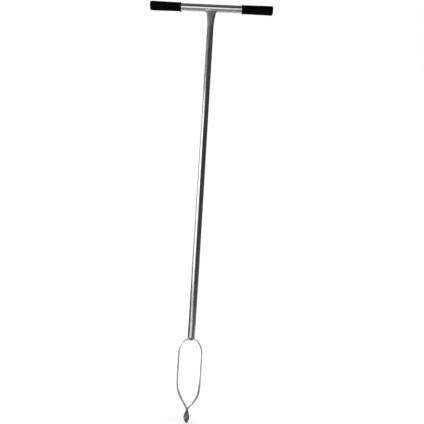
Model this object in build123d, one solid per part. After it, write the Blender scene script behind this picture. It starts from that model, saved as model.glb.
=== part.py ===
from build123d import *

import os
from math import asin, atan2, cos, pi, radians, sin, sqrt, tan

# Open two-blade hand soil auger with a T handle, sizes in millimetres and angles in degrees.
# Z is the turning axis, X runs along the crossbar, and the point of the screw tip is the origin.

# Crossbar, a steel tube across the top of the shaft
BAR_HEIGHT = 1210.0  # its axis above the point
BAR_DIAMETER = 22.0
BAR_WALL = 2.0
BAR_CHAMFER = 0.5
HANDLE_LENGTH = 388.0  # over both grips

# Push-on grips, blind sleeves over the crossbar's ends
GRIP_LENGTH = 98.0
GRIP_WALL = 1.9  # at the thin end, next to the flange
GRIP_SWELL = 0.85  # growth of the radius towards the outer end
GRIP_FLANGE_STEP = 1.7
GRIP_FLANGE_THICKNESS = 3.0
GRIP_FLANGE_ROUNDING = 1.0
GRIP_END_WALL = 5.0
GRIP_END_ROUNDING = 4.5
GRIP_FIT = 0.05  # radial clearance on the crossbar
GRIP_STOP_GAP = 0.3  # from the crossbar's cut end to the grip's closed end

# Shaft tube, its top pressed to an oval and fitted to the crossbar's underside
TUBE_DIAMETER = 20.0
TUBE_WALL = 2.0
FLARE_LENGTH = 69.0  # up to the crossbar's axis, where the oval has its full width and depth
FLARE_WIDTH = 37.0
FLARE_DEPTH = 7.0
FLARE_POWER = 1.8
FLARE_SECTIONS = 6
BAR_BEAD = 3.0  # leg of the weld round the oval

# Neck, a solid plug that closes the tube and carries both blades
PLUG_LENGTH = 35.0
PLUG_FIT = 0.05  # radial clearance in the tube
BOSS_DIAMETER = 13.0
BOSS_DROP = 3.0  # how far the boss shows below the blades
BOSS_ROUNDING = 1.5
NECK_GAP = 0.5  # from the loop's crown up to the tube's cut end
NECK_BEAD = 2.1  # radius of the ring weld under the tube
NECK_BEAD_PROUD = 0.4
ROOT_BEAD = 1.3  # radius of the weld under each blade's root
ROOT_INSET = 1.0  # each edge of a blade's root lies this far inside the boss's width

# Loop of two strip blades, an oval arch with straight sides that bend in to the tip
LOOP_HEIGHT = 208.0  # crown above the point
LOOP_WIDTH = 64.8  # over the blades' outer faces
ARCH_HEIGHT = 40.2  # crown above the tops of the straight sides
BLADE_WIDTH = 23.9
BLADE_THICKNESS = 3.4
BLADE_END_WIDTH = 4.3
BLADE_END_THICKNESS = 1.8
INNER_SAG_SHARE = 0.45  # hollow of the inner face against the crown of the outer one
LOWER_BEND_RADIUS = 45.5
RUN_IN_ANGLE = 45.7  # lower legs against the turning axis
TAPER_HEIGHT = 57.4  # the blades narrow below this height
TAPER_POWER = 1.54
JOIN_GAP = 0.3  # between the two blades where they meet over the tip
OVERRUN = 4.0  # length of blade that is trimmed off below the join
ARCH_SECTIONS = 7
SIDE_SECTIONS = 6
BEND_SECTIONS = 8
LEG_SECTIONS = 5

# Right-handed twist of the lower blades and the tip, and lean of the blades' leading edges
TWIST_START = 124.0
TWIST_POWER = 1.37
JOIN_TURN = 49.7  # turn of the blades about the axis where they meet over the tip
TIP_TURN = 72.5  # further turn from there to the point
EDGE_LEAN = 27.7  # of each strip about its own line, so that its leading edge stands out and cuts
LEAN_HEIGHT = 72.0  # the lean is full from here down
LEAN_FADE = 16.0  # height over the tip in which it goes back to nothing

# Screw tip, a forged leaf with a ridge down each face
TIP_HEIGHT = 32.0
TIP_BELLY_SHARE = 0.434  # its widest place, as a share of its height
TIP_WIDTH = 15.3
TIP_THICKNESS = 5.0
TIP_EDGE = 0.8
TIP_TOP_EDGE = 4.4
TIP_POINT = 2.4
TIP_UPPER_POWER = 1.4  # draws the shoulders in
TIP_LOWER_POWER = 0.6  # rounds the point
TIP_SECTIONS = 12
CROTCH_BEAD = 2.4  # radius of the weld in the crotch of the blades
CROTCH_RISE = 2.0  # its centre above the tip

# Places that follow from those sizes
bar_radius = BAR_DIAMETER / 2
bar_length = HANDLE_LENGTH - 2 * (GRIP_END_WALL + GRIP_STOP_GAP)
flare_bottom = BAR_HEIGHT - FLARE_LENGTH
tube_radius = TUBE_DIAMETER / 2
tube_bottom = LOOP_HEIGHT + NECK_GAP
boss_radius = BOSS_DIAMETER / 2
boss_bottom = LOOP_HEIGHT - BLADE_THICKNESS - BOSS_DROP
loop_radius = LOOP_WIDTH / 2
arch_centre = LOOP_HEIGHT - ARCH_HEIGHT
root_width = BOSS_DIAMETER - 2 * ROOT_INSET
join_radius = BLADE_END_THICKNESS / cos(radians(RUN_IN_ANGLE)) + JOIN_GAP / 2
bend_end_radius = loop_radius - LOWER_BEND_RADIUS * (1 - cos(radians(RUN_IN_ANGLE)))
leg_rise = (bend_end_radius - join_radius) / tan(radians(RUN_IN_ANGLE))
bend_end_height = TIP_HEIGHT + leg_rise
bend_top = bend_end_height + LOWER_BEND_RADIUS * sin(radians(RUN_IN_ANGLE))
tip_belly = TIP_HEIGHT * TIP_BELLY_SHARE


def bar_cylinder(radius, length):
    """Cylinder along the crossbar's axis, its seam on top, away from the shaft."""
    return Pos(0, 0, BAR_HEIGHT) * Rot(0, -90, 0) * Cylinder(radius, length)


def upright_cylinder(radius, bottom, top):
    """Cylinder on the turning axis between two heights."""
    return Pos(0, 0, (bottom + top) / 2) * Cylinder(radius, top - bottom)


def crossbar():
    """Straight tube with broken edges at its cut ends."""
    tube = bar_cylinder(bar_radius, bar_length) - bar_cylinder(bar_radius - BAR_WALL, bar_length)
    return chamfer(tube.edges(), BAR_CHAMFER)


def corner_arc(start, end, centre):
    """Arc about a centre, through the point half-way between its two ends."""
    middle = (Vector(*start) + Vector(*end)) / 2 - Vector(*centre)
    radius = (Vector(*start) - Vector(*centre)).length
    return ThreePointArc(start, Vector(*centre) + middle.normalized() * radius, end)


def grip(side):
    """Sleeve turned about the crossbar's axis, flange inwards; side is 1 for the right and -1 for the left."""
    bore = bar_radius + GRIP_FIT
    neck = bore + GRIP_WALL
    rim = neck + GRIP_FLANGE_STEP
    end = neck + GRIP_SWELL
    thick, edge, corner = GRIP_FLANGE_THICKNESS, GRIP_FLANGE_ROUNDING, GRIP_END_ROUNDING
    bore_depth = GRIP_LENGTH - GRIP_END_WALL
    outline = [
        Line((0, bore), (0, rim - edge)),
        corner_arc((0, rim - edge), (edge, rim), (edge, rim - edge)),
        Line((edge, rim), (thick - edge, rim)),
        corner_arc((thick - edge, rim), (thick, rim - edge), (thick - edge, rim - edge)),
        Line((thick, rim - edge), (thick, neck)),
        Line((thick, neck), (GRIP_LENGTH - corner, end)),
        corner_arc((GRIP_LENGTH - corner, end), (GRIP_LENGTH, end - corner), (GRIP_LENGTH - corner, end - corner)),
        Line((GRIP_LENGTH, end - corner), (GRIP_LENGTH, 0)),
        Line((GRIP_LENGTH, 0), (bore_depth, 0)),
        Line((bore_depth, 0), (bore_depth, bore)),
        Line((bore_depth, bore), (0, bore)),
    ]
    sleeve = revolve(make_face(outline), Axis.X)
    facing = Rot(0, 0, 0 if side > 0 else 180)
    return Pos(0, 0, BAR_HEIGHT) * facing * Pos(HANDLE_LENGTH / 2 - GRIP_LENGTH, 0, 0) * sleeve


def flared_top(inset):
    """Solid of the shaft's oval top up to the crossbar's axis, its outline drawn in by a distance."""
    sections = []
    for step in range(FLARE_SECTIONS + 1):
        share = step / FLARE_SECTIONS
        swell = share**FLARE_POWER
        width = TUBE_DIAMETER + (FLARE_WIDTH - TUBE_DIAMETER) * swell
        depth = TUBE_DIAMETER + (FLARE_DEPTH - TUBE_DIAMETER) * swell
        oval = Ellipse(width / 2 - inset, depth / 2 - inset)
        sections.append(Pos(0, 0, flare_bottom + FLARE_LENGTH * share) * oval)
    return loft(sections)


def shaft_tube():
    """Round tube with its oval top cut to the crossbar's underside."""
    outside = upright_cylinder(tube_radius, tube_bottom, flare_bottom) + flared_top(0)
    inside = upright_cylinder(tube_radius - TUBE_WALL, tube_bottom, flare_bottom) + flared_top(TUBE_WALL)
    return outside - inside - bar_cylinder(bar_radius, bar_length)


def crossbar_weld():
    """Fillet bead in the corner between the oval top and the crossbar, with a flat sloping face."""
    bar = bar_cylinder(bar_radius, bar_length)
    top = flared_top(0)
    corner = new_edges(bar, top, combined=bar + top)
    return chamfer(corner, BAR_BEAD) - bar - top


def neck_plug():
    """Spigot inside the tube, with a round-ended boss below it."""
    spigot = upright_cylinder(tube_radius - TUBE_WALL - PLUG_FIT, tube_bottom, tube_bottom + PLUG_LENGTH)
    boss = upright_cylinder(boss_radius, boss_bottom, tube_bottom)
    boss = fillet(boss.edges().sort_by(Axis.Z)[0], BOSS_ROUNDING)
    return spigot + boss


def turn_at(height):
    """Angle about Z that the blades have turned at a height, and its change for each mm."""
    run = TWIST_START - TIP_HEIGHT
    share = max(0.0, (TWIST_START - height) / run)
    angle = -JOIN_TURN * share**TWIST_POWER
    slope = JOIN_TURN * TWIST_POWER * share ** (TWIST_POWER - 1) / run
    return radians(angle), radians(slope)


def soft_step(share):
    """0 below 0 and 1 above 1, with a soft S between."""
    share = min(1.0, max(0.0, share))
    return share**2 * (3 - 2 * share)


def lean_at(height):
    """Angle that a strip leans about its own line, growing from the start of the twist and gone at the tip."""
    growth = soft_step((TWIST_START - height) / (TWIST_START - LEAN_HEIGHT))
    return radians(EDGE_LEAN) * growth * soft_step((height - TIP_HEIGHT) / LEAN_FADE)


def arch_station(angle):
    """Radius, height and heading from level on the arch's outer face, at an angle of its oval from the crown."""
    heading = atan2(ARCH_HEIGHT * sin(angle), loop_radius * cos(angle))
    return loop_radius * sin(angle), arch_centre + ARCH_HEIGHT * cos(angle), heading


def blade_stations():
    """Points down the outer face as (radius, height, heading from level in radians), crown first."""
    stations = []
    for step in range(ARCH_SECTIONS):
        stations.append(arch_station(pi / 2 * step / ARCH_SECTIONS))
    for step in range(SIDE_SECTIONS):
        stations.append((loop_radius, arch_centre + (bend_top - arch_centre) * step / SIDE_SECTIONS, pi / 2))
    for step in range(BEND_SECTIONS):
        angle = radians(RUN_IN_ANGLE) * step / BEND_SECTIONS
        radius = loop_radius - LOWER_BEND_RADIUS * (1 - cos(angle))
        stations.append((radius, bend_top - LOWER_BEND_RADIUS * sin(angle), pi / 2 + angle))
    for step in range(LEG_SECTIONS + 1):
        drop = (leg_rise + OVERRUN) * step / LEG_SECTIONS
        radius = bend_end_radius - drop * tan(radians(RUN_IN_ANGLE))
        stations.append((radius, bend_end_height - drop, pi / 2 + radians(RUN_IN_ANGLE)))
    return stations


def blade_size(height, heading):
    """Width and thickness of the strip: narrow at the root, full on the sides, drawn out in the lower legs."""
    if heading < pi / 2:
        share = sin(heading) ** 2
        return root_width + (BLADE_WIDTH - root_width) * share, BLADE_THICKNESS
    share = (height - TIP_HEIGHT) / (TAPER_HEIGHT - TIP_HEIGHT)
    share = min(1.0, max(0.0, share)) ** TAPER_POWER
    width = BLADE_END_WIDTH + (BLADE_WIDTH - BLADE_END_WIDTH) * share
    return width, BLADE_END_THICKNESS + (BLADE_THICKNESS - BLADE_END_THICKNESS) * share


def blade_section(radius, height, heading):
    """Curved strip section square to the blade's line; its outer face follows the bored hole."""
    angle, slope = turn_at(height)
    outward = Vector(cos(angle), sin(angle), 0)
    around = Vector(-sin(angle), cos(angle), 0)
    fall = -sin(heading)
    along = (outward * cos(heading) + around * (radius * slope * fall) + Vector(0, 0, fall)).normalized()
    across = (around - along * around.dot(along)).normalized()
    lean = lean_at(height)
    across = across * cos(lean) + across.cross(along) * sin(lean)
    width, thickness = blade_size(height, heading)
    sag = loop_radius - sqrt(loop_radius**2 - width**2 / 4)
    inner_sag = thickness + sag * INNER_SAG_SHARE
    outline = [
        ThreePointArc((-width / 2, -sag), (0, 0), (width / 2, -sag)),
        Line((width / 2, -sag), (width / 2, -inner_sag)),
        ThreePointArc((width / 2, -inner_sag), (0, -thickness), (-width / 2, -inner_sag)),
        Line((-width / 2, -inner_sag), (-width / 2, -sag)),
    ]
    place = Plane(outward * radius + Vector(0, 0, height), x_dir=across, z_dir=along)
    return place * make_face(outline)


def blade(side):
    """Strip from the neck's boss round the arch and down to the tip; the left one is turned half round."""
    strip = loft([blade_section(*station) for station in blade_stations()])
    below = TIP_HEIGHT - 2 * OVERRUN
    trimmed = strip - upright_cylinder(loop_radius, below, TIP_HEIGHT)
    fitted = trimmed - upright_cylinder(boss_radius, boss_bottom, tube_bottom)
    return Rot(0, 0, 0 if side > 0 else 180) * fitted


def screw_tip():
    """Leaf from the blades' join down to the point, turned evenly on the way."""
    sections = []
    for step in range(TIP_SECTIONS + 1):
        height = TIP_HEIGHT * (1 - step / TIP_SECTIONS)
        if height > tip_belly:
            share = sin(pi / 2 * (TIP_HEIGHT - height) / (TIP_HEIGHT - tip_belly)) ** TIP_UPPER_POWER
            end_size = (BLADE_END_WIDTH, 2 * join_radius, TIP_TOP_EDGE)
        else:
            share = sin(pi / 2 * height / tip_belly) ** TIP_LOWER_POWER
            end_size = (TIP_POINT, TIP_POINT, TIP_EDGE)
        belly_size = (TIP_WIDTH, TIP_THICKNESS, TIP_EDGE)
        width, thickness, edge = (a + (b - a) * share for a, b in zip(end_size, belly_size))
        angle = radians(-JOIN_TURN - TIP_TURN * step / TIP_SECTIONS)
        outline = Polygon(
            (width / 2, -edge / 2),
            (width / 2, edge / 2),
            (0, thickness / 2),
            (-width / 2, edge / 2),
            (-width / 2, -edge / 2),
            (0, -thickness / 2),
            align=None,
        )
        place = Plane((0, 0, height), x_dir=(-sin(angle), cos(angle), 0), z_dir=(0, 0, 1))
        sections.append(place * outline)
    return loft(sections)


def neck_weld(blades):
    """Ring bead under the tube's cut end, over the roots of both blades."""
    ring_radius = tube_radius + NECK_BEAD_PROUD - NECK_BEAD
    ring = Pos(0, 0, tube_bottom) * Torus(ring_radius, NECK_BEAD)
    ring -= upright_cylinder(tube_radius, tube_bottom, tube_bottom + PLUG_LENGTH)
    ring -= upright_cylinder(boss_radius, boss_bottom, tube_bottom)
    return ring - blades


def root_weld(side, blade_solid):
    """Bead in the corner between a blade's underside and the boss."""
    _, height, heading = arch_station(asin(boss_radius / loop_radius))
    underside = height - BLADE_THICKNESS / cos(heading)
    bead = Pos(0, 0, underside) * Torus(boss_radius, ROOT_BEAD)
    reach = boss_radius + ROOT_BEAD
    stretch = Pos(side * reach / 2, 0, underside) * Box(reach, root_width - 2 * ROOT_BEAD, 2 * ROOT_BEAD)
    return (bead & stretch) - upright_cylinder(boss_radius, boss_bottom, tube_bottom) - blade_solid


def tip_weld(blades, tip):
    """Drop of weld in the crotch where the blades meet over the tip."""
    return Pos(0, 0, TIP_HEIGHT + CROTCH_RISE) * Sphere(CROTCH_BEAD) - blades - tip


left_blade, right_blade, tip = blade(-1), blade(1), screw_tip()
both_blades = [left_blade, right_blade]
nodes = {
    "crossbar": crossbar(),
    "left_grip": grip(-1),
    "right_grip": grip(1),
    "shaft_tube": shaft_tube(),
    "crossbar_weld": crossbar_weld(),
    "neck_plug": neck_plug(),
    "neck_weld": neck_weld(both_blades),
    "left_blade": left_blade,
    "right_blade": right_blade,
    "left_root_weld": root_weld(-1, left_blade),
    "right_root_weld": root_weld(1, right_blade),
    "screw_tip": tip,
    "tip_weld": tip_weld(both_blades, tip),
}

os.makedirs("parts", exist_ok=True)
for name, solid in nodes.items():
    export_step(solid, f"parts/{name}.step")
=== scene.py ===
from math import cos, pi, radians, sin, sqrt, tan

import bmesh
import bpy
import numpy as np
from mathutils import Matrix, Vector


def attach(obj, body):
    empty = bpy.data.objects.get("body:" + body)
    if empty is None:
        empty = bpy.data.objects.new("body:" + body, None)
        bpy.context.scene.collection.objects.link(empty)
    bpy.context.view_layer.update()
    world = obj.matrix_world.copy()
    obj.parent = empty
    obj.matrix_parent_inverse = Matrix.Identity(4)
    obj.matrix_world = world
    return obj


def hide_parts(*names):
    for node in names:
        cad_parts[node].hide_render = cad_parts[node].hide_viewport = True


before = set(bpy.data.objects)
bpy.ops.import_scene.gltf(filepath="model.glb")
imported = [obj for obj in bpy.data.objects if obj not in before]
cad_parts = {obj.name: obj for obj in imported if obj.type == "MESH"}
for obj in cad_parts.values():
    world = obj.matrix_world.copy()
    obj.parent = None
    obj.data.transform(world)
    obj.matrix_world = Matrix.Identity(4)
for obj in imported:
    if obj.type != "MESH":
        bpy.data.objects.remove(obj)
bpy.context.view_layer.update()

# Open two-blade hand soil auger with a T handle. Shapes are worked out in millimetres and put into the
# meshes in metres: Z is the turning axis, X runs along the crossbar, the point of the tip is the origin.
MM = 0.001
UP = np.array([0, 0, 1.0])

# Crossbar
BAR_HEIGHT = 1210.0
BAR_RADIUS = 11.0
BAR_WALL = 2.0
BAR_LENGTH = 377.4
BAR_EDGE_ROUNDING = 0.5

# Grips
HANDLE_LENGTH = 388.0
GRIP_LENGTH = 98.0
GRIP_BORE = 11.05
GRIP_NECK = 12.95
GRIP_END = 13.8
GRIP_RIM = 14.65
GRIP_FLANGE = 3.0
GRIP_BORE_DEPTH = 93.0
GRIP_ROUNDING = 4.5
GRIP_LIP_ROUNDING = 1.0
GRIP_CORNER_FILLET = 0.8

# Unevenness of the grips' soft plastic
GRIP_WAVE = 0.05
GRIP_WAVE_RISE = 8.0  # mm behind the flange over which it grows
GRIP_WAVE_FADE = 10.0  # mm before the end over which it fades
GRIP_WAVE_TURN = 0.19  # radians of the slow wave for each mm along
GRIP_WAVE_SWAY = 2.0  # radians by which it runs ahead to one side
GRIP_LOBES = 3
GRIP_LOBE_SHARE = 0.7
GRIP_LOBE_TURN = 0.06  # radians of the lobes for each mm along

# Shaft
TUBE_RADIUS = 10.0
TUBE_WALL = 2.0
TUBE_BOTTOM = 208.5
TUBE_EDGE = 0.4
FLARE_BOTTOM = 1141.0
FLARE_LENGTH = 69.0
FLARE_HALF_WIDTH = 18.5
FLARE_HALF_DEPTH = 3.5
FLARE_POWER = 1.8
SADDLE_ROUNDS = 25  # substitutions, by which the height has settled

# Neck
PLUG_RADIUS = 7.95
PLUG_TOP = 243.5
PLUG_ROUNDING = 0.5
BOSS_RADIUS = 6.5
BOSS_BOTTOM = 201.6
BOSS_ROUNDING = 1.5
NECK_RING_RADIUS = 8.3
NECK_BEAD = 2.1
NECK_BEAD_START = radians(-175.0)  # round the bead's section, where 0 points away from the axis
NECK_BEAD_SWING = radians(205.0)
NECK_BEAD_SINK = 0.5  # its back lies this far up inside the tube's wall
NECK_RIPPLE = 0.04  # share of the bead
ROOT_BEAD = 1.3
ROOT_BEAD_HEIGHT = 203.67
ROOT_BEAD_SPREAD = radians(42.0)  # round the boss to each side
ROOT_BEAD_POWER = 4  # a high power draws the bead in late
ROOT_BEAD_RIPPLE = 0.08

# Blades
LOOP_RADIUS = 32.4
ARCH_HEIGHT = 40.2
ARCH_CENTRE = 167.8
ROOT_WIDTH = 11.0
ROOT_START = 4.5  # the strip starts this far from the axis, inside the boss
BLADE_WIDTH = 23.9
BLADE_THICKNESS = 3.4
BLADE_END_WIDTH = 4.3
BLADE_END_THICKNESS = 1.8
INNER_SAG_SHARE = 0.45
BEND_RADIUS = 45.5
RUN_IN = radians(45.7)
TAPER_HEIGHT = 57.4
TAPER_POWER = 1.54
TAPER_EASE = 5.0  # mm to each side over which the taper's start is rounded
TAPER_EASE_SHARE = 0.25  # and at most this share of the height over the tip
JOIN_GAP = 0.3
EDGE_ROUNDING = 0.4
TWIST_START = 124.0
TWIST_POWER = 1.37
JOIN_TURN = radians(49.7)
EDGE_LEAN = radians(27.7)
LEAN_HEIGHT = 72.0
LEAN_FADE = 16.0

# Screw tip
TIP_HEIGHT = 32.0
TIP_TURN = radians(72.5)
TIP_BELLY = 13.888  # height of its widest place
TIP_WIDTH = 15.3
TIP_THICKNESS = 5.0
TIP_EDGE = 0.8
TIP_TOP_EDGE = 4.4
TIP_POINT = 2.4
TIP_UPPER_POWER = 1.4
TIP_LOWER_POWER = 0.6

# Weld in the crotch of the blades
CROTCH_BEAD = 2.4
CROTCH_RISE = 2.0
CROTCH_LUMPS = 3
CROTCH_LUMP_DEPTH = 0.05
CROTCH_LUMP_TWIST = 2
CROTCH_RINGS = 9
CROTCH_RING_DEPTH = 0.04

# Ripples and unevenness of the weld beads; each sway is a sum of sines, given as (size, rate, start)
BAR_BEAD_LEG = 3.0
BAR_BEAD_CROWN = 0.7
BAR_BEAD_SINK = 0.4
BAR_BEAD_SWAY = ((0.08, 3, 0.6), (0.05, 7, 0.0))
NECK_BEAD_SWAY = ((0.03, 2, 1.0),)
RIPPLE_PITCH = 2.4
RIPPLE_DEPTH = 0.3  # share of the crown
RIPPLE_SWEEP = 2.2  # radians that a ripple's middle runs ahead of its ends
RIPPLE_SWAY = ((0.8, 0.37, 1.1), (0.5, 0.91, 0.0))

# Places that follow
JOIN_RADIUS = BLADE_END_THICKNESS / cos(RUN_IN) + JOIN_GAP / 2
BEND_END_RADIUS = LOOP_RADIUS - BEND_RADIUS * (1 - cos(RUN_IN))
LEG_RISE = (BEND_END_RADIUS - JOIN_RADIUS) / tan(RUN_IN)
BEND_TOP = TIP_HEIGHT + LEG_RISE + BEND_RADIUS * sin(RUN_IN)

# Fineness of the grids
ROUND_STEPS = 128
CORNER_STEPS = 6
BAR_RUN_STEPS = 8
GRIP_RUN_STEPS = 28
TUBE_ROWS = 24
TUBE_ROWS_START = 230.0  # height of the first of them
FLARE_ROWS = 40
BEAD_STEPS = 400
BAR_BEAD_COLUMNS = 17
NECK_BEAD_COLUMNS = 21
ROOT_BEAD_ROWS = 81
ROOT_BEAD_COLUMNS = 24
ARCH_ROWS = 60
SIDE_ROWS = 50
BEND_ROWS = 50
LEG_ROWS = 30
LEG_CUT = 1.7  # the square rows stop this far over the tip, and the level cut follows
EASE_SAMPLES = 9
FACE_COLUMNS = 21
RIM_COLUMNS = 9
TIP_ROWS = 120
TIP_SIDE_STEPS = 7
CROTCH_ROWS = 40
CROTCH_COLUMNS = 64
HOLD = 0.35  # mm from a rounded corner to the next row, which keeps long walls evenly shaded
HOLD_LIMIT = 0.25  # the most that this may take of a side
MERGE_DISTANCE = 1e-6  # metres
SHARP = radians(38.0)
LEAF_SHARP = radians(14.0)  # the leaf's ridges are this shallow


def grid_cells(rows, columns, wrap_rows, wrap_columns):
    """The four corner numbers of each cell of a grid, whose last row or column may join the first."""
    row = np.arange(rows if wrap_rows else rows - 1)
    column = np.arange(columns if wrap_columns else columns - 1)
    row, column = np.meshgrid(row, column, indexing="ij")
    here = row * columns
    below = (row + 1) % rows * columns
    beside = (column + 1) % columns
    corners = [here + column, here + beside, below + beside, below + column]
    return np.stack(corners, -1).reshape(-1, 4)


def make_piece(name, points, body, node, finish, wrap_rows=False, strip=None, sharp=SHARP):
    """A closed mesh from a grid of points in mm, whose columns go round: doubled points are merged, which
    closes the poles, faces are turned outwards, and edges over the sharp angle stay crisp. strip holds the
    place on the surface as (across, along, nearness to an edge) for finishes that follow it."""
    rows, columns = points.shape[:2]
    mesh = bpy.data.meshes.new(name)
    cells = grid_cells(rows, columns, wrap_rows, True)
    mesh.from_pydata((points.reshape(-1, 3) * MM).tolist(), [], cells.tolist())
    if strip is not None:
        layer = mesh.attributes.new("strip", "FLOAT_VECTOR", "POINT")
        layer.data.foreach_set("vector", strip.reshape(-1).astype(np.float32))
    shell = bmesh.new()
    shell.from_mesh(mesh)
    bmesh.ops.remove_doubles(shell, verts=shell.verts, dist=MERGE_DISTANCE)
    bmesh.ops.recalc_face_normals(shell, faces=shell.faces)
    shell.to_mesh(mesh)
    shell.free()
    mesh.shade_smooth()
    mesh.set_sharp_from_angle(angle=sharp)
    mesh.materials.append(finish)
    piece = bpy.data.objects.new(name, mesh)
    bpy.context.scene.collection.objects.link(piece)
    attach(piece, body)
    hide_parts(node)


def corner_arc(before, here, after, radius):
    """Arc of the radius, tangent to both sides of a corner, from the side before it to the side after."""
    back = (before - here) / np.linalg.norm(before - here)
    ahead = (after - here) / np.linalg.norm(after - here)
    half = np.arccos(np.clip(back @ ahead, -1, 1)) / 2
    middle = (back + ahead) / np.linalg.norm(back + ahead)
    centre = here + middle * radius / np.sin(half)
    first = here + back * radius / np.tan(half) - centre
    last = here + ahead * radius / np.tan(half) - centre
    swing = pi - 2 * half
    share = np.linspace(0, 1, CORNER_STEPS + 1)[:, None]
    return centre + (np.sin((1 - share) * swing) * first + np.sin(share * swing) * last) / np.sin(swing)


def rounded_profile(corners, closed, run_steps=1):
    """Outline through corners given as (first, second, rounding): each corner becomes an arc of its
    rounding, unless that is 0, and each side gets holding points beside the arcs and evenly spaced points
    between them."""
    radii = [corner[2] for corner in corners]
    places = np.array([corner[:2] for corner in corners], float)
    count = len(places)
    arcs = []
    for at, radius in enumerate(radii):
        if radius == 0:
            arcs.append(places[at : at + 1])
        else:
            arcs.append(corner_arc(places[at - 1], places[at], places[(at + 1) % count], radius))
    runs = []
    for at in range(count if closed else count - 1):
        start = arcs[at][-1]
        end = arcs[(at + 1) % count][0]
        hold = min(HOLD / np.linalg.norm(end - start), HOLD_LIMIT)
        even = np.linspace(0, 1, run_steps + 1)[1:-1]
        share = np.concatenate([[hold], even, [1 - hold]])[:, None]
        runs += [arcs[at], start + (end - start) * share]
    if not closed:
        runs.append(arcs[-1])
    return np.concatenate(runs)


def round_angles(steps=ROUND_STEPS):
    """Evenly spaced angles once round, without the last one, which is the first again."""
    return np.arange(steps) * (2 * pi / steps)


def turned_about_bar(profile):
    """Profile of (place along the bar, radius) carried once round the crossbar's axis."""
    angle = round_angles()
    along, radius = profile[:, :1], profile[:, 1:]
    height = BAR_HEIGHT + radius * np.cos(angle)
    return np.stack(np.broadcast_arrays(along, radius * np.sin(angle), height), -1)


def turned_about_axis(profile):
    """Profile of (radius, height) carried once round the turning axis."""
    angle = round_angles()
    radius, height = profile[:, :1], profile[:, 1:]
    return np.stack(np.broadcast_arrays(radius * np.cos(angle), radius * np.sin(angle), height), -1)


def smooth_share(value, low, high):
    """0 below low, 1 above high, with a soft S between."""
    share = np.clip((value - low) / (high - low), 0, 1)
    return share * share * (3 - 2 * share)


def unit(vectors):
    """Vectors brought to length 1."""
    return vectors / np.linalg.norm(vectors, axis=-1, keepdims=True)


def close_ends(points):
    """The rows with one more at each end, drawn together in its middle, which closes the piece."""
    first = np.broadcast_to(points[0].mean(0), points[0].shape)
    last = np.broadcast_to(points[-1].mean(0), points[-1].shape)
    return np.concatenate([first[None], points, last[None]])


def repeat_ends(rows):
    """The rows with the first and the last one given twice, to go with closed ends."""
    return np.concatenate([rows[:1], rows, rows[-1:]])


def crossbar_points():
    """Tube wall: a long thin rectangle with rounded corners, turned about the bar's axis."""
    half = BAR_LENGTH / 2
    bore = BAR_RADIUS - BAR_WALL
    corners = [
        (-half, BAR_RADIUS, BAR_EDGE_ROUNDING),
        (half, BAR_RADIUS, BAR_EDGE_ROUNDING),
        (half, bore, BAR_EDGE_ROUNDING),
        (-half, bore, BAR_EDGE_ROUNDING),
    ]
    return turned_about_bar(rounded_profile(corners, True, BAR_RUN_STEPS))


def grip_points(side):
    """Blind sleeve turned about the bar's axis: bore, flange with a rounded rim, swelling body and rounded
    end. A slow wave and lobes along and round the body, fading out at both ends, make it uneven as soft
    plastic is."""
    corners = [
        (GRIP_BORE_DEPTH, 0, 0),
        (GRIP_BORE_DEPTH, GRIP_BORE, GRIP_LIP_ROUNDING),
        (0, GRIP_BORE, GRIP_CORNER_FILLET / 2),
        (0, GRIP_RIM, GRIP_LIP_ROUNDING),
        (GRIP_FLANGE, GRIP_RIM, GRIP_LIP_ROUNDING),
        (GRIP_FLANGE, GRIP_NECK, GRIP_CORNER_FILLET),
        (GRIP_LENGTH, GRIP_END, GRIP_ROUNDING),
        (GRIP_LENGTH, 0, 0),
    ]
    profile = rounded_profile(corners, False, GRIP_RUN_STEPS)
    points = turned_about_bar(profile + [HANDLE_LENGTH / 2 - GRIP_LENGTH, 0])
    along, radius = profile[:, :1], profile[:, 1:]
    angle = round_angles()
    body = smooth_share(along, GRIP_FLANGE, GRIP_FLANGE + GRIP_WAVE_RISE)
    body = body * smooth_share(GRIP_LENGTH - along, 0, GRIP_WAVE_FADE)
    body = body * (radius > GRIP_BORE + GRIP_CORNER_FILLET)
    slow = np.sin(GRIP_WAVE_TURN * along + GRIP_WAVE_SWAY * np.cos(angle))
    lobes = GRIP_LOBE_SHARE * np.sin(GRIP_LOBES * angle + GRIP_LOBE_TURN * along)
    wave = GRIP_WAVE * (slow + lobes) * body
    points[..., 1] += wave * np.sin(angle)
    points[..., 2] += wave * np.cos(angle)
    return points * [side, side, 1]


def flare_halves(height, inset):
    """Half width and half depth of the shaft's oval at a height; both follow one power of the way up."""
    swell = np.clip((height - FLARE_BOTTOM) / FLARE_LENGTH, 0, 1) ** FLARE_POWER
    width = TUBE_RADIUS + (FLARE_HALF_WIDTH - TUBE_RADIUS) * swell - inset
    depth = TUBE_RADIUS + (FLARE_HALF_DEPTH - TUBE_RADIUS) * swell - inset
    return width, depth


def under_bar(across):
    """Height of the crossbar's underside at a place across the bar."""
    return BAR_HEIGHT - np.sqrt(BAR_RADIUS**2 - across**2)


def saddle_height(angle, inset):
    """Height at which the oval meets the crossbar's underside, found by repeated substitution."""
    height = np.full_like(angle, BAR_HEIGHT - BAR_RADIUS)
    for _ in range(SADDLE_ROUNDS):
        height = under_bar(flare_halves(height, inset)[1] * np.sin(angle))
    return height


def shaft_wall(inset, heights):
    """Rows of the tube's wall from its bottom up to the crossbar's underside, drawn in by inset."""
    angle = round_angles()
    top = saddle_height(angle, inset)
    straight = np.broadcast_to(heights[:, None], (len(heights), len(angle)))
    share = np.linspace(0, 1, FLARE_ROWS)[1:, None]
    flared = FLARE_BOTTOM + share * (top - FLARE_BOTTOM)
    height = np.concatenate([straight, flared])
    width, depth = flare_halves(height, inset)
    return np.stack([width * np.cos(angle), depth * np.sin(angle), height], -1)


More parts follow.
